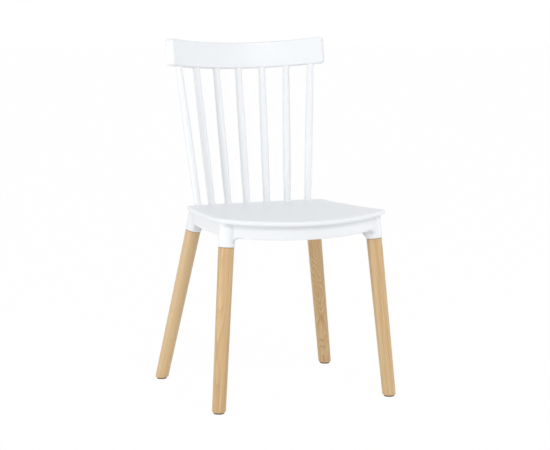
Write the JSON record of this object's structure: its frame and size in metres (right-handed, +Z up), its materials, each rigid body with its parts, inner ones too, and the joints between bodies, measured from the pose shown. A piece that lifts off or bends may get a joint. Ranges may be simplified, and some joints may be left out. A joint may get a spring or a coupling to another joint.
{
  "type": "side chair",
  "caption": "White moulded seat with a spindle back under a curved crest rail, on round splayed wooden legs.",
  "frame": {"origin": "on the floor, under the middle of the chair's overall width and depth", "axes": "+Z up, -Y the way the sitter faces, +X to the sitter's left"},
  "size_m": [0.476, 0.4946, 0.8374],
  "materials": {
    "white_plastic": "satin",
    "beech": "satin",
    "glide_plastic": "matt",
    "nail_steel": "plain",
    "bolt_steel": "zinc plated",
    "insert_zinc": "yellow zinc"
  },
  "bodies": {
    "root": {"seat_and_back_shell": "white_plastic", "leg_front_left": "beech", "leg_front_right": "beech", "leg_rear_left": "beech", "leg_rear_right": "beech", "glide_front_left": "glide_plastic", "glide_front_right": "glide_plastic", "glide_rear_left": "glide_plastic", "glide_rear_right": "glide_plastic", "glide_nail_front_left": "nail_steel", "glide_nail_front_right": "nail_steel", "glide_nail_rear_left": "nail_steel", "glide_nail_rear_right": "nail_steel", "leg_bolts_front_left": "bolt_steel", "leg_bolts_front_right": "bolt_steel", "leg_bolts_rear_left": "bolt_steel", "leg_bolts_rear_right": "bolt_steel", "bolt_washers_front_left": "bolt_steel", "bolt_washers_front_right": "bolt_steel", "bolt_washers_rear_left": "bolt_steel", "bolt_washers_rear_right": "bolt_steel", "threaded_inserts_front_left": "insert_zinc", "threaded_inserts_front_right": "insert_zinc", "threaded_inserts_rear_left": "insert_zinc", "threaded_inserts_rear_right": "insert_zinc"}
  },
  "joints": []
}
